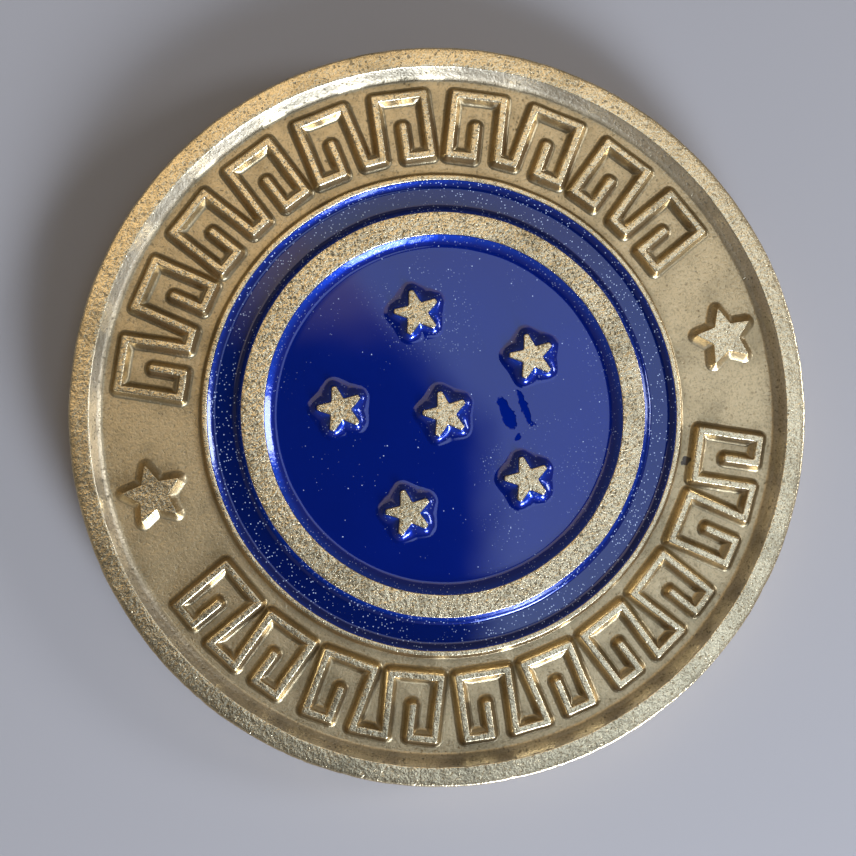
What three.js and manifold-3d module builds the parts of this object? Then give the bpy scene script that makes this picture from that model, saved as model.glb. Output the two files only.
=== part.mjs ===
// A soft-enamel challenge coin: one die-made brass body and two pools of blue enamel set in its face.
// Millimetres, +Z up. The origin is the centre of the plane the back rim lies on, and +Y is the top
// of the front design.
import * as THREE from "three";
import { mergeVertices } from "three/addons/utils/BufferGeometryUtils.js";
import Module from "manifold-3d";

const wasm = await Module();
wasm.setup();

// ---- The blank and its rims ----
const COIN_R = 22.5;
const COIN_T = 3.5; // over the two rims
const EDGE_ROUND = 0.15; // between each rim's flat and the coin's edge
const RIM_W = 1.2; // from the edge to the top of the rim's inner wall
const RIM_WALL_W = 0.65; // the sloping inner wall, in plan
const FRONT_DEPTH = 0.8; // front field below the front rim
const BACK_DEPTH = 0.6;

// ---- Front: the two enamel recesses ----
const RIDGE_R = 14.65; // top of the thin wall round the outer enamel
const RIDGE_W = 0.27;
const RIDGE_DROP = 0.25; // below the rim
const RING_R = 12.35; // the broad ring between the two enamels
const RING_W = 1.38;
const RING_DROP = 0.03;
const POOL_DEPTH = 1.2; // recess floor below the rim
const ENAMEL_DROP = 0.38; // level of the enamel below the rim
const CREEP_W = 0.6; // width of the band where the enamel climbs a wall
const CREEP_GAP = 0.06; // how far below a wall's top it stops
const FIT = 0.02; // between an enamel and the metal round it

// ---- Front: raised ornament ----
const RELIEF_H = 0.55; // above the field
const DRAFT = 0.27; // how far a raised shape's sloping side spreads, in plan
const BAND_STAR_DRAFT = 0.45;
const BAND_R = 17.8; // middle of the band of square keys
const KEY_W = 3.4; // tangential
const KEY_H = 4.1; // radial
const KEY_LINE = 0.38;
const KEY_PAIRS = 5; // on each of the two arcs
const KEY_STEP = 14.6; // degrees from one key to the next
const BAND_STAR_R = 1.85; // the two stars where the arcs of keys meet
const BAND_STAR_AT = 18.2; // their distance from the middle
const SMALL_STAR_R = 1.4; // stars standing in the inner enamel
const SMALL_STAR_COUNT = 5; // round one in the middle
const SMALL_STAR_CIRCLE = 6.4;
const WAIST = 0.48; // a star's inner radius as a share of its outer one

// ---- Back ----
const BACK_RELIEF_H = 0.4;
const BACK_STAR_R = 8;
const BACK_STAR_STEP = 0.15; // height of the star's upright edge; its facets rise from there
const BACK_RING_R = 11; // the thin ring round the star
const BACK_RING_W = 0.5;
const WREATH_R = 16; // middle of the laurel wreath
const WREATH_PAIRS = 8; // pairs of leaves on each branch
const WREATH_FROM = 18; // degrees from the foot of the design to the first pair
const WREATH_TO = 158;
const LEAF_L = 3.6;
const LEAF_W = 1.5;
const LEAF_TURN = 32; // degrees between a leaf and its stem

const SEGMENTS = 96; // round the coin

// ---- Levels and radii that follow ----
const frontField = COIN_T - FRONT_DEPTH;
const poolFloor = COIN_T - POOL_DEPTH;
const ridgeTop = COIN_T - RIDGE_DROP;
const ringTop = COIN_T - RING_DROP;
const enamelTop = COIN_T - ENAMEL_DROP;
const rimInner = COIN_R - RIM_W;
const fieldR = rimInner - RIM_WALL_W;
const ridgeInner = RIDGE_R - RIDGE_W;
const ringInner = RING_R - RING_W;

const radians = THREE.MathUtils.degToRad;

// ---- Solids ----
function solid(geometry) {
  const bare = geometry.clone();
  bare.deleteAttribute("normal");
  bare.deleteAttribute("uv");
  const merged = mergeVertices(bare, 1e-4);
  const mesh = new wasm.Mesh({
    numProp: 3,
    vertProperties: new Float32Array(merged.attributes.position.array),
    triVerts: new Uint32Array(merged.index.array),
  });
  return new wasm.Manifold(mesh);
}

// A solid of revolution from [radius, height] points, listed upwards along its outside.
function turned(points) {
  const profile = points.map(([r, z]) => new THREE.Vector2(r, z));
  return solid(new THREE.LatheGeometry(profile, SEGMENTS).rotateX(Math.PI / 2));
}

// A raised shape: its flat top is the outline and its sides slope outwards to level zero. The root
// below that is buried in the metal. Growing it by a gap gives the hole it makes in an enamel.
function raised(shape, height, draft, grow = 0) {
  const root = 0.1;
  return new THREE.ExtrudeGeometry(shape, {
    depth: root,
    bevelEnabled: true,
    bevelThickness: height,
    bevelSize: draft,
    bevelOffset: grow,
    bevelSegments: 1,
    curveSegments: 3,
  }).translate(0, 0, -root);
}

// ---- Outlines ----
function star(radius) {
  const corners = Array.from({ length: 10 }, (_, i) => {
    const r = i % 2 ? radius * WAIST : radius;
    const angle = radians(90 + 36 * i);
    return new THREE.Vector2(r * Math.cos(angle), r * Math.sin(angle));
  });
  return new THREE.Shape(corners);
}

// A bar of the key's line between two points, square at both ends.
function bar(from, to) {
  const along = new THREE.Vector2().subVectors(to, from);
  const half = KEY_LINE / 2;
  const corners = [
    [-half, -half],
    [along.length() + half, -half],
    [along.length() + half, half],
    [-half, half],
  ];
  const origin = new THREE.Vector2();
  const placed = corners.map(([x, y]) =>
    new THREE.Vector2(x, y).rotateAround(origin, along.angle()).add(from),
  );
  return new THREE.Shape(placed);
}

function leaf() {
  const shape = new THREE.Shape();
  shape.moveTo(0, 0);
  shape.quadraticCurveTo(LEAF_L / 2, -LEAF_W, LEAF_L, 0);
  shape.quadraticCurveTo(LEAF_L / 2, LEAF_W, 0, 0);
  return shape;
}

// ---- Ornament ----
// A square key is one line that turns inwards on a grid of three by three. Two keys that mirror each
// other are joined at their feet. The pair is set out at the top of the coin, its tops pointing out
// (up is 1) or towards the middle (up is -1).
const KEY_TURNS = [[0, 0], [0, 2], [2, 2], [2, 0], [1, 0], [1, 1]];

function keyLine(side, up) {
  const stepX = (KEY_W - KEY_LINE) / 2;
  const stepY = ((KEY_H - KEY_LINE) / 2) * up;
  const origin = new THREE.Vector2();
  return KEY_TURNS.map(([x, y]) => {
    const corner = new THREE.Vector2((x - 1) * stepX * side, (y - 1) * stepY + BAND_R);
    return corner.rotateAround(origin, radians((-side * KEY_STEP) / 2));
  });
}

function keyPair(up) {
  const route = [...keyLine(-1, up).reverse(), ...keyLine(1, up)];
  const bars = route.slice(1).map((to, i) => solid(raised(bar(route[i], to), RELIEF_H, DRAFT)));
  return bars.reduce((all, next) => all.add(next));
}

function keyArc(centre, pair) {
  return Array.from({ length: KEY_PAIRS }, (_, i) => {
    const angle = (i - (KEY_PAIRS - 1) / 2) * 2 * KEY_STEP;
    return pair.translate([0, 0, frontField]).rotate([0, 0, centre + angle]);
  });
}

const bandStars = [-BAND_STAR_AT, BAND_STAR_AT].map((x) =>
  solid(raised(star(BAND_STAR_R), RELIEF_H, BAND_STAR_DRAFT).translate(x, 0, frontField)),
);

const starPlaces = [
  [0, 0],
  ...Array.from({ length: SMALL_STAR_COUNT }, (_, i) => {
    const angle = radians(90 + (360 / SMALL_STAR_COUNT) * i);
    return [SMALL_STAR_CIRCLE * Math.cos(angle), SMALL_STAR_CIRCLE * Math.sin(angle)];
  }),
];

function enamelStars(grow) {
  return starPlaces.map(([x, y]) => {
    const shape = raised(star(SMALL_STAR_R), ringTop - poolFloor, DRAFT, grow);
    return solid(shape.translate(x, y, poolFloor));
  });
}

// ---- The body ----
function quarter(centreR, centreZ, radius, from, steps = 2) {
  return Array.from({ length: steps + 1 }, (_, i) => {
    const angle = radians(from + (90 * i) / steps);
    return [centreR + radius * Math.cos(angle), centreZ + radius * Math.sin(angle)];
  });
}

const blank = turned([
  [0, BACK_DEPTH],
  [BACK_RING_R - BACK_RING_W - DRAFT, BACK_DEPTH],
  [BACK_RING_R - BACK_RING_W, BACK_DEPTH - BACK_RELIEF_H],
  [BACK_RING_R, BACK_DEPTH - BACK_RELIEF_H],
  [BACK_RING_R + DRAFT, BACK_DEPTH],
  [fieldR, BACK_DEPTH],
  [rimInner, 0],
  ...quarter(COIN_R - EDGE_ROUND, EDGE_ROUND, EDGE_ROUND, -90),
  ...quarter(COIN_R - EDGE_ROUND, COIN_T - EDGE_ROUND, EDGE_ROUND, 0),
  [rimInner, COIN_T],
  [fieldR, frontField],
  [RIDGE_R + DRAFT, frontField],
  [RIDGE_R, ridgeTop],
  [ridgeInner, ridgeTop],
  [ridgeInner, poolFloor],
  [RING_R, poolFloor],
  [RING_R, ringTop],
  [ringInner, ringTop],
  [ringInner, poolFloor],
  [0, poolFloor],
]);

// A five-pointed star with a ridge down each point: a ten-sided cone, every other corner drawn in.
function facetedStar(radius, height) {
  const geometry = new THREE.ConeGeometry(radius, height, 10).rotateX(Math.PI / 2);
  const position = geometry.attributes.position;
  for (let i = 0; i < position.count; i += 1) {
    const angle = Math.atan2(position.getX(i), position.getY(i));
    const corner = Math.round(THREE.MathUtils.radToDeg(angle) / 36);
    if (Math.abs(corner) % 2) {
      position.setXY(i, position.getX(i) * WAIST, position.getY(i) * WAIST);
    }
  }
  return geometry;
}

// Relief on the back is shaped facing up, then turned over about the design's vertical line.
function onBack(manifold) {
  return manifold.rotate([0, 180, 0]).translate([0, 0, BACK_DEPTH]);
}

function wreathBranch(side) {
  const leaves = [];
  for (let i = 0; i < WREATH_PAIRS; i += 1) {
    const along = WREATH_FROM + ((WREATH_TO - WREATH_FROM) * i) / WREATH_PAIRS;
    for (const turn of [LEAF_TURN, -LEAF_TURN]) {
      const piece = solid(raised(leaf(), BACK_RELIEF_H, DRAFT / 2))
        .rotate([0, 0, turn])
        .translate([0, -WREATH_R, 0])
        .rotate([0, 0, along]);
      leaves.push(onBack(side < 0 ? piece.mirror([1, 0, 0]) : piece));
    }
  }
  return leaves;
}

const STAR_SINK = 0.02; // how deep the facets' base lies inside the star's edge
const facetHeight = BACK_RELIEF_H - BACK_STAR_STEP + STAR_SINK;
const backStar = [
  raised(star(BACK_STAR_R), BACK_STAR_STEP, DRAFT / 3),
  facetedStar(BACK_STAR_R, facetHeight).translate(0, 0, BACK_RELIEF_H - facetHeight / 2),
].map((shape) => onBack(solid(shape)));

const body = [
  ...keyArc(0, keyPair(1)),
  ...keyArc(180, keyPair(-1)),
  ...bandStars,
  ...enamelStars(0),
  ...wreathBranch(1),
  ...wreathBranch(-1),
  ...backStar,
].reduce((all, next) => all.add(next), blank);

// ---- The enamels ----
// Each fills its recess to a level and climbs the metal round it, as it did when it was wet.
const outerEnamel = turned([
  [RING_R + FIT, poolFloor + FIT],
  [ridgeInner - FIT, poolFloor + FIT],
  [ridgeInner - FIT, ridgeTop - CREEP_GAP],
  [ridgeInner - CREEP_W, enamelTop],
  [RING_R + CREEP_W, enamelTop],
  [RING_R + FIT, ringTop - CREEP_GAP],
  [RING_R + FIT, poolFloor + FIT],
]);

const innerPool = turned([
  [0, poolFloor + FIT],
  [ringInner - FIT, poolFloor + FIT],
  [ringInner - FIT, ringTop - CREEP_GAP],
  [ringInner - CREEP_W, enamelTop],
  [0, enamelTop],
]);

const climbing = starPlaces.map(([x, y]) => {
  const height = ringTop - CREEP_GAP - enamelTop;
  const shape = raised(star(SMALL_STAR_R), height, CREEP_W);
  return solid(shape.translate(x, y, enamelTop));
});

const withClimb = climbing.reduce((all, next) => all.add(next), innerPool);
const innerEnamel = enamelStars(FIT).reduce((all, hole) => all.subtract(hole), withClimb);

// ---- Named nodes ----
const BRASS = { color: 0x8f7d54, roughness: 0.42, metalness: 1, flatShading: true };
const BLUE = { color: 0x0b1c8c, roughness: 0.12, metalness: 0, flatShading: true };

function node(name, manifold, look) {
  const { vertProperties, triVerts } = manifold.getMesh();
  const geometry = new THREE.BufferGeometry();
  geometry.setAttribute("position", new THREE.BufferAttribute(vertProperties, 3));
  geometry.setIndex(new THREE.BufferAttribute(triVerts, 1));
  geometry.computeVertexNormals();
  const mesh = new THREE.Mesh(geometry, new THREE.MeshStandardMaterial(look));
  mesh.name = name;
  return mesh;
}

const coin = new THREE.Group();
coin.name = "challenge_coin";
coin.add(node("coin_body", body, BRASS));
coin.add(node("enamel_ring", outerEnamel, BLUE));
coin.add(node("enamel_center", innerEnamel, BLUE));

export default coin;
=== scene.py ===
import math

import bpy
import numpy as np
from mathutils import Matrix, Vector


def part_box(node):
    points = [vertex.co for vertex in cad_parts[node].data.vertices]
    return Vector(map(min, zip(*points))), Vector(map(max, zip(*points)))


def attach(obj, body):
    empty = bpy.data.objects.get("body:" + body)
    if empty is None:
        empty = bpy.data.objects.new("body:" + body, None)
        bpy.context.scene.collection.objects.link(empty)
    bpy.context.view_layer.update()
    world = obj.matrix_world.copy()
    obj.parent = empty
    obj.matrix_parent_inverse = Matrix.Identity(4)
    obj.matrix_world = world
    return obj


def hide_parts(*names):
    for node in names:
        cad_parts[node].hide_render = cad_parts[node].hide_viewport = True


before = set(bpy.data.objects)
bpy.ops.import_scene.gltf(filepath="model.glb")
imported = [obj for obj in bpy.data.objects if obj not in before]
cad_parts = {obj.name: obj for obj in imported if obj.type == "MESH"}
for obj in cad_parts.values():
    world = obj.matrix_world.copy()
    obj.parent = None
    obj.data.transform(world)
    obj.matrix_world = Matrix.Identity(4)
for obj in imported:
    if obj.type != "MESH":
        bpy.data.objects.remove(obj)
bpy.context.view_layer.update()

MM = 0.001

# ---- Sizes, in millimetres, as the CAD has them ----
low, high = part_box("coin_body")
COIN_R = (high[0] - low[0]) / 2 / MM
COIN_T = high[2] / MM
RIM_W = 1.2  # from the edge to the top of the rim's inner wall
RIM_WALL_W = 0.65  # the sloping inner wall, in plan
FRONT_DEPTH = 0.8  # front field below the front rim
BACK_DEPTH = 0.6

# The two enamel recesses
RIDGE_R = 14.65  # top of the thin wall round the outer enamel
RIDGE_W = 0.27
RIDGE_DROP = 0.25  # below the rim
RING_R = 12.35  # the broad ring between the two enamels
RING_W = 1.38
RING_DROP = 0.03
POOL_DEPTH = 1.2  # recess floor below the rim
ENAMEL_DROP = 0.38  # level of the enamel below the rim

# Raised ornament on the front
RELIEF_H = 0.55  # above the field
BAND_R = 17.8  # middle of the band of square keys
KEY_W = 3.4  # tangential
KEY_H = 4.1  # radial
KEY_LINE = 0.38
KEY_PAIRS = 5  # on each of the two arcs
KEY_STEP = 14.6  # degrees from one key to the next
BAND_STAR_R = 1.85  # the two stars where the arcs of keys meet
BAND_STAR_AT = 18.2  # their distance from the middle
SMALL_STAR_R = 1.4  # stars standing in the inner enamel
SMALL_STAR_WAIST = 0.66  # radius of the notches between its arms
SMALL_STAR_TIP = 0.14  # half the width of an arm's blunt end
SMALL_STAR_COUNT = 5  # round one in the middle
SMALL_STAR_CIRCLE = 6.4
WAIST = 0.48  # any other star's inner radius as a share of its outer one

# Back
BACK_RELIEF_H = 0.4
BACK_STAR_R = 8.0
BACK_STAR_STEP = 0.15  # height of the star's upright edge; its facets rise from there
BACK_RING_R = 11.0  # the thin ring round the star
BACK_RING_W = 0.5
WREATH_R = 16.0
WREATH_PAIRS = 8  # pairs of leaves on each branch
WREATH_FROM, WREATH_TO = 18, 158  # degrees from the foot of the design
LEAF_L, LEAF_W = 3.6, 1.5
LEAF_TURN = 32  # degrees between a leaf and its stem

# Levels and radii that follow
FRONT_FIELD = COIN_T - FRONT_DEPTH
RIDGE_TOP = COIN_T - RIDGE_DROP
RING_TOP = COIN_T - RING_DROP
ENAMEL_TOP = COIN_T - ENAMEL_DROP
POOL_FLOOR = COIN_T - POOL_DEPTH
RIM_INNER = COIN_R - RIM_W
FIELD_R = RIM_INNER - RIM_WALL_W
RIDGE_INNER = RIDGE_R - RIDGE_W
RING_INNER = RING_R - RING_W


# ---- Small tools ----
def polar(radius, degrees):
    """The point at a radius and an angle from +X."""
    a = math.radians(degrees)
    return radius * math.cos(a), radius * math.sin(a)


def left_of(v):
    """v turned a quarter to the left."""
    return np.array([-v[1], v[0]])


def near(value, middle, width):
    """1 where value is at the middle, and falling off to nothing some widths away from it."""
    return np.exp(-(((value - middle) / width) ** 2))


def waves(count, shortest, longest, seed):
    """A smooth random function of position: a sum of plane waves, about -1 to 1."""
    r = np.random.default_rng(seed)
    ways = r.normal(size=(count, 3))
    ways /= np.linalg.norm(ways, axis=1)[:, None]
    lengths = np.exp(r.uniform(math.log(shortest), math.log(longest), count))
    turns = ways * (2 * math.pi / lengths)[:, None]
    phases = r.uniform(0, 2 * math.pi, count)
    return lambda p: np.cos(p @ turns.T + phases).sum(axis=1) / math.sqrt(count)


def corner_arc(a, b, c, radius, steps=4):
    """The rounding of corner b between a and c, as points of a polyline."""
    a, b, c = (np.array(p, float) for p in (a, b, c))
    u = (a - b) / np.linalg.norm(a - b)
    v = (c - b) / np.linalg.norm(c - b)
    half = math.acos(max(-1.0, min(1.0, float(u @ v)))) / 2
    if half > math.pi / 2 - 0.01 or radius <= 0:
        return [tuple(b)]
    reach = radius / math.tan(half)
    start, end = b + u * reach, b + v * reach
    middle = b + (u + v) / np.linalg.norm(u + v) * (radius / math.sin(half))
    s, e = start - middle, end - middle
    total = math.acos(max(-1.0, min(1.0, float(s @ e) / radius**2)))
    out = []
    for i in range(steps + 1):
        t = i / steps
        w0 = math.sin((1 - t) * total) / math.sin(total)
        w1 = math.sin(t * total) / math.sin(total)
        out.append(tuple(middle + s * w0 + e * w1))
    return out


def rounded_line(points):
    """A polyline with rounded corners from (r, z, rounding) points."""
    out = [points[0][:2]]
    for before, here, after in zip(points, points[1:], points[2:]):
        out += corner_arc(before[:2], here[:2], after[:2], here[2])
    out.append(points[-1][:2])
    return out


def densify(line, step):
    """Extra points along a polyline, so that no piece of it is longer than step."""
    out = [line[0]]
    for (r0, z0), (r1, z1) in zip(line, line[1:]):
        n = max(1, math.ceil(math.hypot(r1 - r0, z1 - z0) / step))
        out += [(r0 + (r1 - r0) * i / n, z0 + (z1 - z0) * i / n) for i in range(1, n + 1)]
    return out


class Shell:
    """Points, faces and named per-point numbers of a mesh being put together, in millimetres."""

    def __init__(self):
        self.points, self.faces, self.flat, self.marks = [], [], [], {}
        self.count = 0

    def add(self, points, faces, flat=False, **marks):
        points = np.asarray(points, float)
        self.flat += [flat] * len(faces)
        self.points.append(points)
        self.faces += [[i + self.count for i in f] for f in faces]
        for name in sorted(set(self.marks) | set(marks)):
            value = marks.get(name, 0.0)
            column = np.broadcast_to(np.asarray(value, float), (len(points),))
            self.marks.setdefault(name, [np.zeros(self.count)] if self.count else [])
            self.marks[name].append(np.array(column))
        self.count += len(points)

    def build(self, name, move):
        """The finished object, with its points moved by the function move."""
        points = move(np.concatenate(self.points))
        mesh = bpy.data.meshes.new(name)
        mesh.from_pydata((points * MM).tolist(), [], self.faces)
        for mark, columns in self.marks.items():
            attribute = mesh.attributes.new(mark, "FLOAT", "POINT")
            attribute.data.foreach_set("value", np.concatenate(columns).astype(np.float32))
        mesh.polygons.foreach_set("use_smooth", [not flat for flat in self.flat])
        piece = bpy.data.objects.new(name, mesh)
        bpy.context.scene.collection.objects.link(piece)
        return piece


def turn(line, segments, closed=False):
    """Points and faces of a line of (r, z) turned about Z. Points on the axis become poles."""
    angles = np.arange(segments) * 2 * math.pi / segments
    rows, points, count = [], [], 0
    for r, z in line:
        if r < 1e-6:
            points.append([[0, 0, z]])
            rows.append([count] * segments)
            count += 1
        else:
            ring = np.stack([r * np.cos(angles), r * np.sin(angles), np.full(segments, z)], 1)
            points.append(ring)
            rows.append(list(range(count, count + segments)))
            count += segments
    faces = []
    pairs = list(zip(rows, rows[1:] + ([rows[0]] if closed else [])))
    for a, b in pairs[: len(rows) if closed else len(rows) - 1]:
        for i in range(segments):
            j = (i + 1) % segments
            face = [a[i], a[j], b[j], b[i]]
            unique = list(dict.fromkeys(face))
            if len(unique) > 2:
                faces.append(unique)
    return np.concatenate([np.asarray(p, float) for p in points]), faces


def ring_faces(rows, m):
    """The quads between rings of m points each, given one ring after another."""
    faces = []
    for row in range(rows - 1):
        for i in range(m):
            j = (i + 1) % m
            faces.append([row * m + i, (row + 1) * m + i, (row + 1) * m + j, row * m + j])
    return faces


# ---- Outlines that can be grown and shrunk ----
class Outline:
    """A closed anticlockwise outline with rounded tips and notches. at(d) gives the same number of
    points for every distance d outwards (or inwards, below zero), so that the rings of a raised
    shape join up. The points of the sides keep clear of a notch out to the distance reach."""

    def __init__(self, corners, tip=0.1, notch=0.06, spacing=0.35, reach=0.45):
        corners = [np.array(c, float) for c in corners]
        sides = [after - here for here, after in zip(corners, corners[1:] + corners[:1])]
        lengths = [np.linalg.norm(side) for side in sides]
        ways = [side / length for side, length in zip(sides, lengths)]
        swings, radii, rooms = [], [], []
        for u, v in zip(ways[-1:] + ways, ways):
            swing = math.atan2(u[0] * v[1] - u[1] * v[0], float(u @ v))
            radius = tip if swing > 0 else notch
            widest = radius if swing > 0 else max(radius, reach)
            swings.append(swing)
            radii.append(radius)
            rooms.append(math.tan(abs(swing) / 2) * widest + 0.03)

        self.knots = []
        for i, here in enumerate(corners):
            u, v, swing, radius = ways[i - 1], ways[i], swings[i], radii[i]
            n0, n1 = np.array([u[1], -u[0]]), np.array([v[1], -v[0]])
            mitre = (n0 + n1) / (1 + float(n0 @ n1))
            centre = here - mitre * radius if swing > 0 else here + mitre * radius
            start = math.atan2(n0[1], n0[0])
            steps = max(2, math.ceil(abs(swing) / math.radians(20)))
            for k in range(steps + 1):
                angle = start + swing * k / steps
                normal = np.array([math.cos(angle), math.sin(angle)])
                self.knots.append((swing > 0, centre, radius, normal, mitre))
            length = lengths[i] - rooms[i] - rooms[(i + 1) % len(corners)]
            if length > spacing / 2:
                pieces = max(1, math.ceil(length / spacing))
                for k in range(pieces + 1):
                    spot = here + v * (rooms[i] + length * k / pieces)
                    self.knots.append((None, spot, 0.0, n1, mitre))

    def at(self, d):
        """The outline's points at distance d."""
        out = []
        for convex, spot, radius, normal, mitre in self.knots:
            if convex is None:
                out.append(spot + normal * d)
            elif convex:
                out.append(spot + normal * max(radius + d, 0.0))
            elif d < radius:
                out.append(spot + normal * (d - radius))
            else:
                out.append(spot + mitre * (d - radius))
        return np.array(out)


def raise_shape(shell, outline, profile, place, cap="plain", pits=0.55):
    """Rings of the outline, one for each (distance, height, recess, top) of the profile, from
    the flat top down to the foot. recess darkens the foot: the antique wash there, and
    painted shade. place turns local points into the coin's. A fan cap meets in the middle of the
    shape."""
    rings = [outline.at(step[0]) for step in profile]
    m = len(rings[0])
    points = np.concatenate(
        [np.column_stack([ring, np.full(m, step[1])]) for ring, step in zip(rings, profile)]
    )
    faces = ring_faces(len(rings), m)
    recess = np.repeat([step[2] for step in profile], m)
    top = np.repeat([step[3] for step in profile], m)
    if cap == "plain":
        faces.append(list(range(m)))
    if cap == "fan":
        faces += [[len(points), i, (i + 1) % m] for i in range(m)]
        points = np.concatenate([points, [[0, 0, profile[0][1]]]])
        recess, top = np.append(recess, 0), np.append(top, profile[0][3])
    shell.add(place(points), faces, recess=recess, top=top, pitted=pits * top)


def placed(x=0.0, y=0.0, z=0.0, turn_by=0.0):
    """A function that turns local points about Z and then moves them."""
    c, s = polar(1, turn_by)

    def move(p):
        p = np.column_stack([c * p[:, 0] - s * p[:, 1], s * p[:, 0] + c * p[:, 1], p[:, 2]])
        return p + [x, y, z]

    return move


def star_corners(radius, waist=WAIST):
    """A sharp five-pointed star. waist is its notches' radius as a share of its points' radius."""
    return [polar(radius * (waist if i % 2 else 1), 90 + 36 * i) for i in range(10)]


# A square key's line, as turns on a grid of three by three.
KEY_TURNS = [(0, 0), (0, 2), (2, 2), (2, 0), (1, 0), (1, 1)]


def key_route(side, up):
    """The middle line of one key of a pair that is set out at the top of the coin."""
    step = np.array([(KEY_W - KEY_LINE) / 2 * side, (KEY_H - KEY_LINE) / 2 * up])
    across = np.array(polar(1, -side * KEY_STEP / 2))
    out = left_of(across)
    spots = [(np.array(t) - 1) * step + [0, BAND_R] for t in KEY_TURNS]
    return [x * across + y * out for x, y in spots]


def pair_corners(up):
    """The outline of the line that draws two keys joined at their feet."""
    route = key_route(-1, up)[::-1] + key_route(1, up)
    ways = [(b - a) / np.linalg.norm(b - a) for a, b in zip(route, route[1:])]
    half = KEY_LINE / 2
    left, right = [], []
    for i, spot in enumerate(route):
        u, v = ways[max(i - 1, 0)], ways[min(i, len(ways) - 1)]
        side_u, side_v = left_of(u), left_of(v)
        side = (side_u + side_v) / (1 + float(side_u @ side_v))
        end = -u if i == 0 else (u if i == len(route) - 1 else 0 * u)
        left.append(spot + (side + end) * half)
        right.append(spot + (end - side) * half)
    return right + left[::-1]


# ---- Unevenness of a cast and polished piece ----
WANDER = 0.011  # sideways
LIFT = 0.004  # up and down, on the metal
ENAMEL_LIFT = 0.0005  # up and down, on the enamel
BITE, BULGE = 0.035, 0.008  # dents and bulges of the coin's outer edges
drift = [waves(28, 1.5, 7.0, seed) for seed in (11, 12, 13)]
nibble = waves(40, 0.45, 1.3, 14)


def uneven(points, lift=LIFT):
    """Points moved by about a hundredth of a millimetre, more along the coin's outer edges, and
    never below the plane the coin lies on."""
    moved = points + np.column_stack([wave(points) for wave in drift]) * [WANDER, WANDER, lift]
    radius = np.hypot(points[:, 0], points[:, 1])
    at_edge = np.clip((radius - COIN_R + 0.4) / 0.4, 0, 1)
    bite = np.clip(nibble(points) - 0.5, 0, 1.5) * BITE + np.clip(-nibble(points), 0, 1) * BULGE
    inwards = 1 - at_edge * bite / COIN_R
    moved = moved * np.column_stack([inwards, inwards, np.ones(len(points))])
    moved[:, 2] = np.maximum(moved[:, 2], 0)
    return moved


def uneven_enamel(points):
    """The same sideways, so that the enamel still meets the metal, but level on top."""
    return uneven(points, lift=ENAMEL_LIFT)


# ---- The coin's body ----
body = Shell()
SEGMENTS = 480
EDGE = 0.15  # rounding of the coin's outer edges
KNEE_OUT, KNEE_UP = 0.38, 0.2  # where the rim's inner wall turns flatter
WALL_END = FIELD_R - 0.4  # where the wall's sweep into the field has levelled out
RIDGE_FOOT, BACK_RING_FOOT = 0.22, 0.27  # how far the sloping sides spread, in plan
LEAN = 0.03  # how far the walls round the enamels lean, in plan
ROW_STEP, BACK_ROW_STEP = 0.3, 0.55  # longest gap between rows of points
front_line = rounded_line([
    (COIN_R, COIN_T / 2, 0),
    (COIN_R, COIN_T, EDGE),
    (RIM_INNER, COIN_T, 0.1),
    (RIM_INNER - KNEE_OUT, FRONT_FIELD + KNEE_UP, 0.6),
    (FIELD_R + 0.02, FRONT_FIELD, 0.35),
    (WALL_END, FRONT_FIELD, 0),
])
inner_line = rounded_line([
    (WALL_END - 0.01, FRONT_FIELD, 0),
    (RIDGE_R + RIDGE_FOOT, FRONT_FIELD, 0.15),
    (RIDGE_R, RIDGE_TOP, 0.05),
    (RIDGE_INNER, RIDGE_TOP, 0.05),
    (RIDGE_INNER - LEAN, POOL_FLOOR, 0),
    (RING_R + LEAN, POOL_FLOOR, 0),
    (RING_R, RING_TOP, 0.05),
    (RING_INNER, RING_TOP, 0.05),
    (RING_INNER - LEAN, POOL_FLOOR, 0),
])
back_line = rounded_line([
    (0, BACK_DEPTH, 0),
    (BACK_RING_R - BACK_RING_W - BACK_RING_FOOT, BACK_DEPTH, 0.15),
    (BACK_RING_R - BACK_RING_W, BACK_DEPTH - BACK_RELIEF_H, 0.1),
    (BACK_RING_R, BACK_DEPTH - BACK_RELIEF_H, 0.1),
    (BACK_RING_R + BACK_RING_FOOT, BACK_DEPTH, 0.15),
    (FIELD_R, BACK_DEPTH, 0.3),
    (RIM_INNER, 0, 0.07),
    (COIN_R, 0, EDGE),
    (COIN_R, COIN_T / 2 - 0.02, 0),
])
whole_line = densify(back_line, BACK_ROW_STEP) + densify(front_line + inner_line, ROW_STEP)
whole_line.append((0, POOL_FLOOR))
points, faces = turn(whole_line, SEGMENTS)

# Raised shapes' sections: (distance outwards, height, recess, top). recess is antique wash and
# painted shade at the foot.
KEY_PROFILE = [
    (-0.1, RELIEF_H + 0.003, 0.0, 1.0),
    (-0.06, RELIEF_H + 0.002, 0.0, 1.0),
    (-0.03, RELIEF_H - 0.003, 0.0, 1.0),
    (0.0, RELIEF_H - 0.02, 0.0, 0.8),
    (0.03, RELIEF_H - 0.06, 0.0, 0.4),
    (0.07, RELIEF_H - 0.14, 0.0, 0.1),
    (0.13, RELIEF_H - 0.29, 0.1, 0.0),
    (0.19, 0.14, 0.4, 0.0),
    (0.25, 0.06, 0.65, 0.0),
    (0.32, 0.016, 0.65, 0.0),
    (0.41, -0.004, 0.5, 0.0),
]

pieces = []
for up, centre in ((1, 0), (-1, 180)):
    pair = Outline(pair_corners(up), tip=0.12, notch=0.06)
    for i in range(KEY_PAIRS):
        angle = centre + (i - (KEY_PAIRS - 1) / 2) * 2 * KEY_STEP
        pieces.append((pair, KEY_PROFILE, placed(z=FRONT_FIELD, turn_by=angle)))

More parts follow.
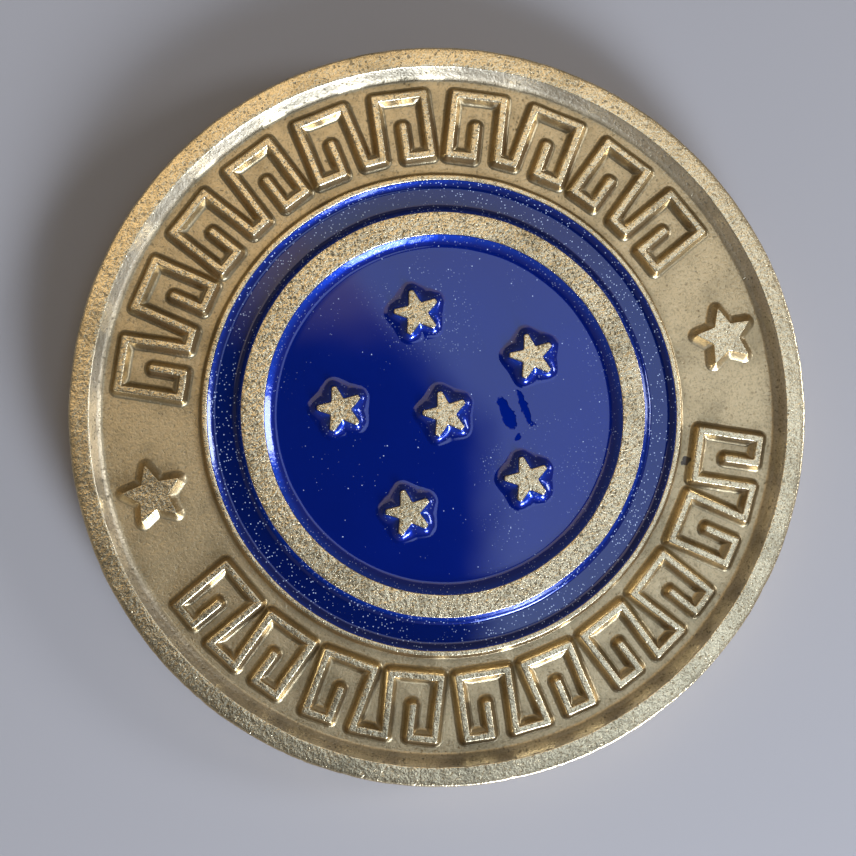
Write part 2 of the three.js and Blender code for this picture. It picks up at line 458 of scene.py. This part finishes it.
BAND_STAR_PROFILE = [
    (-0.045, RELIEF_H, 0.0, 1.0),
    (-0.03, RELIEF_H, 0.0, 1.0),
    (-0.012, RELIEF_H - 0.004, 0.0, 1.0),
    (0.004, RELIEF_H - 0.02, 0.0, 0.8),
    (0.03, RELIEF_H - 0.06, 0.0, 0.2),
    (0.1, RELIEF_H - 0.16, 0.0, 0.0),
    (0.24, RELIEF_H - 0.36, 0.0, 0.0),
    (0.36, 0.08, 0.1, 0.0),
    (0.42, 0.03, 0.25, 0.0),
    (0.48, 0.006, 0.3, 0.0),
    (0.53, -0.004, 0.25, 0.0),
]
band_star = Outline(star_corners(BAND_STAR_R), tip=0.05, notch=0.05, reach=0.55)
for side in (-1, 1):
    pieces.append((band_star, BAND_STAR_PROFILE, placed(x=side * BAND_STAR_AT, z=FRONT_FIELD)))

# Every raised shape's outline in place, so that the field can be darker close to it: antique wash
# and painted shade.
feet = []
for outline, profile, place in pieces:
    ring = outline.at(0.1)
    feet.append(place(np.column_stack([ring, np.zeros(len(ring))]))[:, :2])


def distance_to_feet(xy, far=9.0):
    """How far each point lies from the nearest raised shape, if one is near."""
    best = np.full(len(xy), far)
    for ring in feet:
        middle = ring.mean(axis=0)
        reach = np.linalg.norm(ring - middle, axis=1).max()
        close = np.nonzero(np.linalg.norm(xy - middle, axis=1) < reach + 1.5)[0]
        if not len(close):
            continue
        a, b = ring, np.roll(ring, -1, axis=0)
        p = xy[close][:, None, :]
        ab = b - a
        t = ((p - a) * ab).sum(2) / np.maximum((ab * ab).sum(1), 1e-12)
        gap = np.linalg.norm(p - (a + np.clip(t, 0, 1)[..., None] * ab), axis=2).min(axis=1)
        best[close] = np.minimum(best[close], gap)
    return best


def wear_marks(points):
    """What the brass material reads at each point: recess, the antique wash that gathers in
    hollows together with painted shade at the feet of the raised shapes, of the rim's wall and of
    the ridge; top, where wear keeps the metal bright; pitted, where the casting shows pits; and
    wall, the rim's polished inner wall."""
    radius, height = np.hypot(points[:, 0], points[:, 1]), points[:, 2]
    front = height > COIN_T / 2

    # Darker near the feet of the raised shapes and at the foot of the rim's wall and of the ridge:
    # the antique wash that gathers there, and painted shade in these hollows.
    recess = np.zeros(len(points))
    on_field = (np.abs(height - FRONT_FIELD) < 0.03) & (radius > RIDGE_R)
    recess[on_field] = 0.5 * np.exp(-distance_to_feet(points[on_field][:, :2]) / 0.25)
    at_wall = near(radius, FIELD_R, 0.24) * front * (height < COIN_T - 0.2)
    at_ridge = near(radius, RIDGE_R + RIDGE_FOOT + 0.02, 0.12) * front
    recess = np.maximum(recess, 0.35 * np.maximum(at_wall, at_ridge))

    top = ((height > COIN_T - 0.08) | (height < 0.05)).astype(float)
    on_ridge = (np.abs(radius - RIDGE_R + RIDGE_W / 2) < 0.2) & front
    top = np.maximum(top, 0.8 * on_ridge)

    pitted = np.maximum(0.5 * top, 0.8 * near(radius, FIELD_R + 0.4, 0.3) * front)
    pitted[front & (radius < RING_R + 0.02) & (radius > RING_INNER - 0.02)] = 1.3

    wall = np.clip((RIM_INNER + 0.02 - radius) / 0.05, 0, 1) * front
    wall = wall * np.clip((radius - FIELD_R + 0.1) / 0.35, 0, 1)
    return {"recess": recess, "top": top, "pitted": pitted, "wall": wall}


body.add(points, faces, **wear_marks(points))
for outline, profile, place in pieces:
    raise_shape(body, outline, profile, place, "fan" if outline is band_star else "plain")


# ---- The small stars that stand in the inner enamel ----
def blunt_star_corners(radius, waist, half_width):
    """A star whose arms end blunt, half_width to each side of the arm's middle line."""
    corners = []
    for arm in range(5):
        along = np.array(polar(1, 90 + 72 * arm))
        across = left_of(along)
        corners += [
            along * radius - across * half_width,
            along * radius + across * half_width,
            polar(waist, 90 + 72 * arm + 36),
        ]
    return corners


small_star = Outline(
    blunt_star_corners(SMALL_STAR_R, SMALL_STAR_WAIST, SMALL_STAR_TIP),
    tip=0.12,
    notch=0.1,
    reach=0.6,
    spacing=0.25,
)
star_places = [(0.0, 0.0)] + [
    polar(SMALL_STAR_CIRCLE, 90 + 360 / SMALL_STAR_COUNT * i) for i in range(SMALL_STAR_COUNT)
]
SMALL_STAR_PROFILE = [
    (-0.08, 0.0, 0.0, 1.0),
    (-0.05, -0.001, 0.0, 1.0),
    (-0.025, -0.008, 0.0, 0.9),
    (0.0, -0.03, 0.0, 0.5),
    (0.02, -0.07, 0.0, 0.1),
    (0.03, -0.2, 0.5, 0.0),
    (0.05, -0.6, 1.0, 0.0),
]
for x, y in star_places:
    raise_shape(body, small_star, SMALL_STAR_PROFILE, placed(x, y, RING_TOP), "fan", 0.9)

# ---- The back's relief ----
def turned_over(p):
    """p from the front's way up to the back's."""
    return p * [-1, 1, -1] + [0, 0, BACK_DEPTH]


def leaf_place(along, tilt, mirrored):
    """A function that puts a leaf's points on the back. along is in degrees from the foot of the
    design, on the wreath's one branch or on the mirrored one."""
    on_branch = placed(*polar(WREATH_R, along - 90), turn_by=tilt + along)
    return lambda p: turned_over(on_branch(p) * [-1 if mirrored else 1, 1, 1])


LEAF_PROFILE = [
    (d * 0.6 if d > 0 else d, z * BACK_RELIEF_H / RELIEF_H, a, b) for d, z, a, b in KEY_PROFILE
]


def leaf_corners():
    """A leaf along +X with its stem at the origin."""
    side = [(t, 2 * t * (1 - t)) for t in (0.2, 0.4, 0.6, 0.8)]
    below = [(t * LEAF_L, -w * LEAF_W) for t, w in side]
    above = [(t * LEAF_L, w * LEAF_W) for t, w in side[::-1]]
    return [(0, 0)] + below + [(LEAF_L, 0)] + above


leaf = Outline(leaf_corners(), tip=0.06, notch=0.05, reach=0.2)
for mirrored in (False, True):
    for i in range(WREATH_PAIRS):
        along = WREATH_FROM + (WREATH_TO - WREATH_FROM) * i / WREATH_PAIRS
        for tilt in (LEAF_TURN, -LEAF_TURN):
            raise_shape(body, leaf, LEAF_PROFILE, leaf_place(along, tilt, mirrored))

# A star with a ridge along each point: an upright edge, then facets up to the middle.
star_line = Outline(star_corners(BACK_STAR_R), tip=0.08, notch=0.08)
EDGE_PROFILE = [
    (0.0, BACK_STAR_STEP, 0.0, 0.6),
    (0.03, BACK_STAR_STEP - 0.02, 0.1, 0.2),
    (0.07, 0.04, 0.4, 0.0),
    (0.13, 0.006, 0.4, 0.0),
    (0.22, -0.004, 0.3, 0.0),
]
raise_shape(body, star_line, EDGE_PROFILE, turned_over, cap="open")
rim_of_star = star_line.at(0.0)
shares = np.linspace(1, 0, 12)
m = len(rim_of_star)
facets = np.concatenate([
    np.column_stack([
        rim_of_star * share,
        np.full(m, BACK_RELIEF_H - (BACK_RELIEF_H - BACK_STAR_STEP) * share),
    ])
    for share in shares[:-1]
] + [np.array([[0, 0, BACK_RELIEF_H]])])
faces = []
for row in range(len(shares) - 2):
    for i in range(m):
        j = (i + 1) % m
        faces.append([row * m + i, row * m + j, (row + 1) * m + j, (row + 1) * m + i])
last = len(facets) - 1
faces += [[last - m + i, last - m + (i + 1) % m, last] for i in range(m)]
body.add(turned_over(facets), faces, flat=True, top=0.7, pitted=0.5)

body_piece = body.build("coin_body_detail", uneven)

# ---- Enamels ----
STEEP, TAIL = 0.28, 0.45  # widths of the even slope up a wall and of the curve that levels it out
SAG, RING_SAG = 0.06, 0.14  # how far the enamels' middles sink as they cure
POOL_LEVEL = ENAMEL_TOP - SAG
RING_POOL_LEVEL = ENAMEL_TOP - RING_SAG


def meniscus(gap, rise, share):
    """Height above the pool at some distance from a wall: an even slope that then levels out.
    share makes it narrower or wider."""
    gap, whole = gap / share, STEEP + TAIL / 2
    if gap < STEEP:
        return rise * (1 - gap / whole)
    return rise * max(STEEP + TAIL - gap, 0) ** 2 / (2 * TAIL * whole)


def pool_line(level, inner, inner_rise, outer, outer_rise, share):
    """The enamel's surface from an inner wall to an outer one, climbing each of them."""
    start = inner if inner is not None else 0.0
    gaps = np.linspace(0, 0.8, 21)
    spots = {outer - gap for gap in gaps}
    if inner is not None:
        spots |= {inner + gap for gap in gaps}
    spots |= set(np.arange(start + 0.9, outer - 0.85, 0.25).tolist())
    line = []
    for r in sorted(r for r in spots if start <= r <= outer):
        z = level + meniscus(outer - r, outer_rise, share)
        if inner is not None:
            z += meniscus(r - inner, inner_rise, share)
        line.append((r, z))
    return line


ring_enamel = Shell()
line = pool_line(
    level=RING_POOL_LEVEL,
    inner=RING_R,
    inner_rise=RING_TOP - 0.05 - RING_POOL_LEVEL,
    outer=RIDGE_INNER,
    outer_rise=RIDGE_TOP - 0.03 - RING_POOL_LEVEL,
    share=0.75,
)
line = [(RING_R, POOL_FLOOR)] + line + [(RIDGE_INNER, POOL_FLOOR)]
p, f = turn(densify(line, ROW_STEP), SEGMENTS, closed=True)
ring_enamel.add(p, [face[::-1] for face in f], rise=(p[:, 2] - RING_POOL_LEVEL) / 0.4)
ring_piece = ring_enamel.build("enamel_ring_detail", uneven_enamel)

disc_enamel = Shell()
line = pool_line(
    level=POOL_LEVEL,
    inner=None,
    inner_rise=0,
    outer=RING_INNER,
    outer_rise=RING_TOP - 0.05 - POOL_LEVEL,
    share=1.1,
)
line = [(0, POOL_FLOOR)] + [(RING_INNER, POOL_FLOOR)] + line[::-1] + [(0, POOL_LEVEL)]
p, f = turn(densify(line, 0.5), SEGMENTS)
disc_enamel.add(p, f, rise=(p[:, 2] - POOL_LEVEL) / 0.35)
CLIMB = RING_TOP - 0.06 - POOL_LEVEL
SKIRT_R = 2.5
SKIRT_DIP = 0.004  # a skirt's outer rings lie this far under the pool
swell = waves(16, 0.4, 1.5, 15)


def climb_field(outline, step=0.025, fade=0.37, rounds=700):
    """How high enamel climbs about a shape, on a square grid: 1 on the shape, and falling off
    around it as a liquid's surface does, so that it fills the shape's notches."""
    axis = np.arange(-SKIRT_R - 0.2, SKIRT_R + 0.2, step)
    gx, gy = np.meshgrid(axis, axis)
    at = np.arctan2(outline[:, 1], outline[:, 0])
    order = np.argsort(at)
    reach = np.hypot(outline[:, 0], outline[:, 1])
    edge = np.interp(np.arctan2(gy, gx), at[order], reach[order], period=2 * math.pi)
    inside = np.clip((edge - np.hypot(gx, gy)) / step + 0.5, 0, 1)
    high = inside.copy()
    pull = 4 + (step / fade) ** 2
    for _ in range(rounds):
        around = sum(np.roll(high, way, side) for way in (1, -1) for side in (0, 1)) / pull
        high = inside + (1 - inside) * around
    return axis, high


def read_field(axis, field, xy):
    """The field's value at each point, taken evenly between the grid's points."""
    place = (xy - axis[0]) / (axis[1] - axis[0])
    cell = np.clip(np.floor(place).astype(int), 0, len(axis) - 2)
    u, v = (place - cell).T
    i, j = cell.T
    low = field[j, i] * (1 - u) + field[j, i + 1] * u
    high = field[j + 1, i] * (1 - u) + field[j + 1, i + 1] * u
    return low * (1 - v) + high * v


star_edge = small_star.at(0.0)
climb_axis, climb = climb_field(star_edge)


def skirt(x, y):
    """Rings of enamel that climbs a star, from the star's outline out to a circle."""
    shares = [0, 0.02, 0.045, 0.075, 0.11, 0.15, 0.2, 0.26, 0.33, 0.41, 0.5, 0.6, 0.72, 0.86, 1.0]
    edge = np.hypot(star_edge[:, 0], star_edge[:, 1])
    rings = []
    for share in shares:
        ring = star_edge * ((edge + (SKIRT_R - edge) * share) / edge)[:, None]
        high = np.clip((read_field(climb_axis, climb, ring) - 0.05) / 0.95, 0, 1) ** 1.25
        if share == 0:
            high = np.ones(len(ring))
        spread = np.column_stack([ring + [x, y], 0 * edge])
        more = np.clip(1 + 0.2 * swell(spread) * min(share / 0.1, 1), 0.5, 1.6)
        dip = SKIRT_DIP * (1 - np.clip(high / 0.02, 0, 1))
        spread[:, 2] = POOL_LEVEL + CLIMB * high * more - dip
        rings.append(spread)
    return np.concatenate(rings), ring_faces(len(rings), len(star_edge))


for x, y in star_places:
    p, f = skirt(x, y)
    disc_enamel.add(p, f, rise=np.maximum(p[:, 2] - POOL_LEVEL, 0) / 0.35)
disc_piece = disc_enamel.build("enamel_center_detail", uneven_enamel)


# ---- Materials ----
def new_material(name):
    material = bpy.data.materials.new(name)
    material.use_nodes = True
    tree = material.node_tree
    return material, tree, tree.nodes["Principled BSDF"]


class Graph:
    """Short names for adding nodes to a tree. An input is a number, a tuple or a socket."""

    def __init__(self, tree):
        self.tree = tree

    def add(self, kind, inputs=(), **settings):
        made = self.tree.nodes.new(kind)
        for key, value in settings.items():
            setattr(made, key, value)
        for key, value in dict(inputs).items():
            if isinstance(value, bpy.types.NodeSocket):
                self.tree.links.new(value, made.inputs[key])
            else:
                made.inputs[key].default_value = value
        return made

    def math(self, operation, a, b=0.0, c=0.0):
        made = self.add("ShaderNodeMath", {0: a, 1: b, 2: c}, operation=operation)
        return made.outputs[0]

    def ramp(self, value, start, end, low=0.0, high=1.0):
        """value taken smoothly from start..end to low..high."""
        inputs = {0: value, 1: start, 2: end, 3: low, 4: high}
        made = self.add("ShaderNodeMapRange", inputs, interpolation_type="SMOOTHSTEP")
        return made.outputs[0]

    def mix(self, share, a, b):
        made = self.add("ShaderNodeMix", {0: share, 6: a, 7: b}, data_type="RGBA")
        return made.outputs[2]

    def noise(self, vector, size, detail=2.0, roughness=0.5):
        """Noise whose features are about size metres across."""
        inputs = {"Vector": vector, "Scale": 1 / size, "Detail": detail, "Roughness": roughness}
        return self.add("ShaderNodeTexNoise", inputs)

    def parts(self, vector):
        """A vector's x, y and z."""
        return self.add("ShaderNodeSeparateXYZ", {0: vector}).outputs

    def bent(self, place, size, reach):
        """place pushed about by up to reach, in a pattern of the given size."""
        push = self.noise(place, size, 2.0, 0.5).outputs["Color"]
        push = self.add("ShaderNodeVectorMath", {0: push, 1: (-0.5, -0.5, -0.5)})
        push = self.add("ShaderNodeVectorMath", {0: push.outputs[0], 3: reach}, operation="SCALE")
        return self.add("ShaderNodeVectorMath", {0: place, 1: push.outputs[0]}).outputs[0]

    def mark(self, name):
        """One of the marks that the mesh carries on its points."""
        return self.add("ShaderNodeAttribute", attribute_name=name).outputs["Fac"]


# Marks of wear on the front: (x, y, turn in degrees, half length, half width) in millimetres.
STAIN = (13.75, -6.8, 20, 0.34, 0.26)
CHIPS = [(3.7, -0.85, -78, 1.15, 0.4), (4.85, -1.0, -80, 1.3, 0.24), (4.0, -2.6, 0, 0.22, 0.2)]


def oval(g, place, shape):
    """1 inside an oval, 0 outside it."""
    x, y, turned, half_l, half_w = shape
    c, s = polar(1, turned)
    px, py, _ = g.parts(place)
    dx, dy = g.math("SUBTRACT", px, x * MM), g.math("SUBTRACT", py, y * MM)
    along = g.math("ADD", g.math("MULTIPLY", dx, c), g.math("MULTIPLY", dy, s))
    across = g.math("SUBTRACT", g.math("MULTIPLY", dy, c), g.math("MULTIPLY", dx, s))
    u = g.math("POWER", g.math("ABSOLUTE", g.math("DIVIDE", along, half_l * MM)), 2.0)
    v = g.math("POWER", g.math("ABSOLUTE", g.math("DIVIDE", across, half_w * MM)), 2.0)
    return g.ramp(g.math("ADD", u, v), 0.75, 1.1, 1.0, 0.0)


# Pits of two sizes: (cells per metre, radius as a share of a cell).
PITS = ((3500.0, 0.37), (5600.0, 0.38))


def brass():
    """Antique brass: bright where it's rubbed, dark in its pits and at the feet of its relief and
    walls, where its antique wash gathers and where shade is painted in.
    """
    material, tree, shader = new_material("antique_brass")
    g = Graph(tree)
    place = g.add("ShaderNodeTexCoord").outputs["Object"]
    recess, top, pitted, wall = g.mark("recess"), g.mark("top"), g.mark("pitted"), g.mark("wall")
    grain = g.noise(place, 0.00012, 2.0, 0.65).outputs["Fac"]
    coarse = g.noise(place, 0.0003, 2.0, 0.5).outputs["Fac"]
    blotch = g.noise(place, 0.0024, 3.0, 0.55).outputs["Fac"]

    # Pits left by casting: scattered, ragged, and dark where the antique wash stays in them.
    bent = g.bent(place, 0.0003, 0.00035)
    pit, rare = 0.0, g.math("MULTIPLY_ADD", pitted, -0.2, 0.8)
    for scale, size in PITS:
        cells = g.add("ShaderNodeTexVoronoi", {"Vector": bent, "Scale": scale})
        draw = g.add("ShaderNodeSeparateColor", {0: cells.outputs["Color"]}).outputs[0]
        here = g.ramp(cells.outputs["Distance"], size * 0.5, size, 1.0, 0.0)
        here = g.math("MULTIPLY", here, g.ramp(g.math("SUBTRACT", draw, rare), 0.0, 0.12))
        pit = g.math("MAXIMUM", pit, here)
    fine = g.noise(place, 0.00015, 3.0, 0.7).outputs["Fac"]
    crowd = g.ramp(g.noise(place, 0.0022, 2.0, 0.5).outputs["Fac"], 0.38, 0.6, 0.4, 1.0)
    pit = g.math("MULTIPLY", pit, g.math("MULTIPLY_ADD", pitted, 0.45, 0.45))
    sandy = g.math("MULTIPLY", g.ramp(fine, 0.38, 0.45, 1.0, 0.0), crowd)
    sandy = g.math("MULTIPLY", sandy, g.ramp(pitted, 0.5, 1.2, 0.25, 0.8))
    sandy = g.math("MULTIPLY", sandy, g.math("MULTIPLY_ADD", pitted, 0.8, 0.12))
    pit = g.math("MAXIMUM", pit, sandy)

    pale, tan, brown = (0.79, 0.63, 0.38, 1), (0.6, 0.445, 0.235, 1), (0.1, 0.08, 0.042, 1)
    rubbed, fleck, grime = (0.6, 0.56, 0.46, 1), (0.95, 0.82, 0.58, 1), (0.035, 0.035, 0.045, 1)
    tone = g.mix(g.ramp(top, 0.0, 1.0, 0.75, 0.1), pale, tan)
    tone = g.mix(g.math("MULTIPLY", wall, 0.5), tone, rubbed)
    tone = g.mix(g.ramp(blotch, 0.42, 0.75, 0.0, 0.36), tone, brown)
    tone = g.mix(g.ramp(grain, 0.32, 0.52, 0.33, 0.0), tone, brown)
    # Dark antique wash and painted shade at the feet of the relief and of the walls.
    tone = g.mix(g.math("MULTIPLY", recess, 0.8), tone, brown)
    tone = g.mix(g.math("MULTIPLY", pit, 0.8), tone, brown)
    tone = g.mix(g.ramp(fine, 0.56, 0.68, 0.0, 0.18), tone, fleck)
    spots = g.math("MULTIPLY", oval(g, bent, STAIN), g.ramp(g.parts(place)[2], 0.001, 0.002))
    tone = g.mix(g.math("MULTIPLY", spots, 0.85), tone, grime)
    tree.links.new(tone, shader.inputs["Base Color"])
    shader.inputs["Metallic"].default_value = 1.0
    rough = g.math("ADD", g.ramp(grain, 0.3, 0.7, 0.29, 0.22), g.ramp(top, 0.0, 1.0, 0.11, 0.0))
    rough = g.math("ADD", rough, g.math("MULTIPLY", pit, 0.2))
    rough = g.math("ADD", rough, g.math("MULTIPLY", wall, 0.13))
    tree.links.new(rough, shader.inputs["Roughness"])

    height = g.math("SUBTRACT", grain, pit)
    lumps = g.math("ADD", g.math("MULTIPLY", pitted, 2.9), 0.8)
    height = g.math("ADD", height, g.math("MULTIPLY", coarse, lumps))
    bump = g.add("ShaderNodeBump", {"Height": height, "Strength": 1.0, "Distance": 0.000013})
    tree.links.new(bump.outputs[0], shader.inputs["Normal"])
    return material


def specks(g, place, scale, rare, size):
    """Dust: small round spots, one in some of the cells of a random pattern."""
    cells = g.add("ShaderNodeTexVoronoi", {"Vector": place, "Scale": scale})
    draw = g.add("ShaderNodeSeparateColor", {0: cells.outputs["Color"]}).outputs[0]
    dot_shape = g.ramp(cells.outputs["Distance"], size * 0.6, size, 1.0, 0.0)
    return g.math("MULTIPLY", dot_shape, g.math("GREATER_THAN", draw, rare))


# Dust of three sizes: (cells per metre, share of cells left empty, radius as a share of a cell).
LARGE_DUST = (1900.0, 0.55, 0.085)
MIDDLE_DUST = (4300.0, 0.5, 0.13)
FINE_DUST = (7200.0, 0.72, 0.33)
DUST_COLOUR = (0.55, 0.62, 0.78, 1)
THIN_BLUE = (0.002, 0.034, 0.3, 1)  # where the enamel thins out up a wall


def enamel(name, strength, dusty, chips=()):
    """Glossy blue enamel. dusty says how much fine dust lies on it. Its gloss is gone at chips."""
    material, tree, shader = new_material(name)
    g = Graph(tree)
    place = g.add("ShaderNodeTexCoord").outputs["Object"]
    rise = g.mark("rise")
    depth = g.noise(place, 0.004, 2.0, 0.5).outputs["Fac"]
    deep = (0.0003, 0.008 * strength, 0.125 * strength, 1)
    shallow = (0.0003, 0.01, 0.16 * strength, 1)
    tone = g.mix(depth, deep, shallow)
    tone = g.mix(g.ramp(rise, 0.1, 0.9, 0.0, 0.7), tone, THIN_BLUE)
    few = specks(g, place, *LARGE_DUST)
    drifts = g.ramp(g.noise(place, 0.003, 2.0, 0.6).outputs["Fac"], 0.6 - dusty, 0.72 - dusty)
    drifts = g.math("MAXIMUM", drifts, g.ramp(rise, 0.04, 0.4))
    many = g.math("MULTIPLY", specks(g, place, *MIDDLE_DUST), drifts)
    haze = g.noise(place, 0.006, 3.0, 0.6).outputs["Fac"]
    haze = g.ramp(haze, 0.66 - dusty, 0.8 - dusty)
    haze = g.math("MAXIMUM", haze, g.ramp(rise, 0.01, 0.15))
    finest = g.math("MULTIPLY", specks(g, place, *FINE_DUST), haze)
    dust = g.math("MAXIMUM", few, g.math("MULTIPLY", many, 0.75))
    dust = g.math("MAXIMUM", dust, g.math("MULTIPLY", finest, 3 * dusty))
    tone = g.mix(g.math("MULTIPLY", dust, 0.8), tone, DUST_COLOUR)
    tree.links.new(tone, shader.inputs["Base Color"])
    tree.links.new(g.math("MULTIPLY_ADD", dust, -0.5, 0.5), shader.inputs["Metallic"])
    shader.inputs["Roughness"].default_value = 0.3
    shader.inputs["Specular IOR Level"].default_value = 0.0
    shader.inputs["Coat Weight"].default_value = 1.0
    tree.links.new(g.ramp(rise, 0.02, 0.25, 0.04, 0.1), shader.inputs["Coat Roughness"])
    wave = g.noise(place, 0.0035, 1.0, 0.4).outputs["Fac"]
    ripple = g.noise(place, 0.0007, 3.0, 0.6).outputs["Fac"]
    wave = g.math("ADD", wave, g.math("MULTIPLY", ripple, g.ramp(rise, 0.02, 0.2, 0.0, 3.0)))
    chipped = 0.0
    for shape in chips:
        chipped = g.math("MAXIMUM", chipped, oval(g, g.bent(place, 0.0007, 0.0009), shape))
    if chips:
        tree.links.new(g.math("SUBTRACT", 1.0, chipped), shader.inputs["Coat Weight"])
        wave = g.math("SUBTRACT", wave, chipped)
    bump = g.add("ShaderNodeBump", {"Height": wave, "Strength": 1.0, "Distance": 0.000006})
    tree.links.new(bump.outputs[0], shader.inputs["Normal"])
    tree.links.new(bump.outputs[0], shader.inputs["Coat Normal"])
    return material


brass_look = brass()
inner_look = enamel("blue_enamel", 1.0, 0.12, CHIPS)
outer_look = enamel("dark_blue_enamel", 0.62, 0.3)
for piece, look, cad in (
    (body_piece, brass_look, "coin_body"),
    (ring_piece, outer_look, "enamel_ring"),
    (disc_piece, inner_look, "enamel_center"),
):
    piece.data.materials.append(look)
    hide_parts(cad)
    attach(piece, "root")

# ---- Floor ----
floor_mesh = bpy.data.meshes.new("floor")
FLOOR_HALF = 1.2  # half the floor's width, in metres
corners = [(x * FLOOR_HALF, y * FLOOR_HALF, 0) for x, y in ((-1, -1), (1, -1), (1, 1), (-1, 1))]
floor_mesh.from_pydata(corners, [], [(0, 1, 2, 3)])
floor = bpy.data.objects.new("floor", floor_mesh)
bpy.context.scene.collection.objects.link(floor)
floor_look, _, floor_shader = new_material("pale_floor")
floor_shader.inputs["Base Color"].default_value = (0.35, 0.322, 0.305, 1)
floor_shader.inputs["Roughness"].default_value = 0.7
floor_mesh.materials.append(floor_look)

# ---- Camera ----
SENSOR = 36.0
FOCAL = 1.63551  # in widths of the picture
VIEW_WIDTH = 51.9733  # what the picture's width takes in at the coin
DISTANCE = FOCAL * VIEW_WIDTH
OFFSET = (1.06254, 0.86218)  # the front's middle, to the right of the picture's and above it
NORMAL = np.array([0.09, 0.035, 1.0])  # the front's normal as the camera sees it
ROLL = 15.5  # the coin's upright, in degrees left of the camera's
n = NORMAL / np.linalg.norm(NORMAL)
up = np.array([-math.sin(math.radians(ROLL)), math.cos(math.radians(ROLL)), 0.0])
y_axis = up - n * (up @ n)
y_axis /= np.linalg.norm(y_axis)
x_axis = np.cross(y_axis, n)
to_camera = np.column_stack([x_axis, y_axis, n])
middle_in_camera = np.array([*OFFSET, -DISTANCE])
eye = np.array([0, 0, COIN_T]) - to_camera.T @ middle_in_camera
camera_data = bpy.data.cameras.new("camera")
camera_data.sensor_width = SENSOR
camera_data.lens = FOCAL * SENSOR
camera_data.clip_start = 0.005
camera = bpy.data.objects.new("camera", camera_data)
matrix = Matrix([list(row) for row in to_camera.T]).to_4x4()
matrix.translation = Vector(eye * MM)
camera.matrix_world = matrix
bpy.context.scene.collection.objects.link(camera)
bpy.context.scene.camera = camera


# ---- Lights: placed by direction from the coin, as seen in the camera's view ----
def light(name, direction, distance, size, power, colour=(1, 1, 1)):
    """A disc of light, size metres across and distance metres away."""
    d = np.array(direction, float)
    d = to_camera.T @ (d / np.linalg.norm(d))
    data = bpy.data.lights.new(name, "AREA")
    data.shape = "DISK"
    data.size = size
    data.energy = power
    data.color = colour
    lamp = bpy.data.objects.new(name, data)
    lamp.location = Vector(d * distance)
    lamp.rotation_euler = Vector(d).to_track_quat("Z", "Y").to_euler()
    bpy.context.scene.collection.objects.link(lamp)


light("key", (0.5, -0.85, 0.42), 0.45, 0.22, 1.5, (0.72, 0.93, 1.35))
light("spark", (0.5, -0.85, 0.4), 0.45, 0.14, 2.1, (0.85, 0.96, 1.15))
light("side", (1.0, 0.12, 0.4), 0.5, 0.13, 0.9, (0.85, 0.95, 1.15))


def in_world(direction):
    """A direction in the camera's view, as the world has it."""
    d = to_camera.T @ np.array(direction, float)
    return tuple(float(v) for v in d / np.linalg.norm(d))


# The studio: dim all round, with a long cool panel overhead and a warm one beyond the coin's top.
world = bpy.data.worlds.new("studio")
bpy.context.scene.world = world
world.use_nodes = True
g = Graph(world.node_tree)
ray = g.add("ShaderNodeTexCoord").outputs["Generated"]


def dot(direction):
    """How nearly a ray runs along a direction: 1 along it, 0 across it."""
    made = g.add("ShaderNodeVectorMath", {0: ray, 1: in_world(direction)}, operation="DOT_PRODUCT")
    return made.outputs["Value"]


def between(value, opens, closes):
    """1 between two soft edges of a value, 0 outside them."""
    return g.math("MULTIPLY", g.ramp(value, *opens), g.ramp(value, *closes, 1.0, 0.0))


room_dark, room_far = (0.035, 0.035, 0.035, 1), (0.23, 0.222, 0.215, 1)
room = g.mix(g.ramp(dot((0.02, -0.12, 1.0)), 0.97, 0.85), room_dark, room_far)

overhead = dot((0, 0, 1))
side = g.math("DIVIDE", dot((1, 0, 0)), g.math("MAXIMUM", overhead, 0.01))
rise = g.math("DIVIDE", dot((0, 1, 0)), g.math("MAXIMUM", overhead, 0.01))
above = g.math("GREATER_THAN", overhead, 0.1)
warm = between(rise, (0.12, 0.19), (0.5, 0.65))
warm = g.math("MULTIPLY", warm, between(side, (-0.5, -0.25), (0.25, 0.45)))
warm = g.math("MULTIPLY", warm, above)
colour = g.mix(warm, room, (1.55, 1.24, 0.82, 1))

# The cool panel's near edge is upright at one end and slopes at the other.
upright = g.ramp(side, 0.205, 0.245)
slope = g.math("ADD", g.math("MULTIPLY", side, 0.74), g.math("MULTIPLY", rise, 0.67))
panel = g.math("MAXIMUM", upright, g.ramp(slope, 0.195, 0.235))
panel = g.math("MULTIPLY", panel, g.ramp(side, 0.5, 0.62, 1.0, 0.0))
panel = g.math("MULTIPLY", panel, between(rise, (-0.3, -0.2), (0.3, 0.45)))
panel = g.math("MULTIPLY", panel, above)
panel_colour = g.mix(g.ramp(rise, -0.12, 0.06), (1.55, 1.98, 2.7, 1), (1.26, 1.6, 2.2, 1))
panel_colour = g.mix(g.ramp(rise, 0.14, 0.32), panel_colour, (1.36, 1.25, 1.04, 1))
colour = g.mix(panel, colour, panel_colour)
background = world.node_tree.nodes["Background"]
world.node_tree.links.new(colour, background.inputs["Color"])
background.inputs["Strength"].default_value = 1.0
bpy.context.scene.view_settings.view_transform = "Standard"
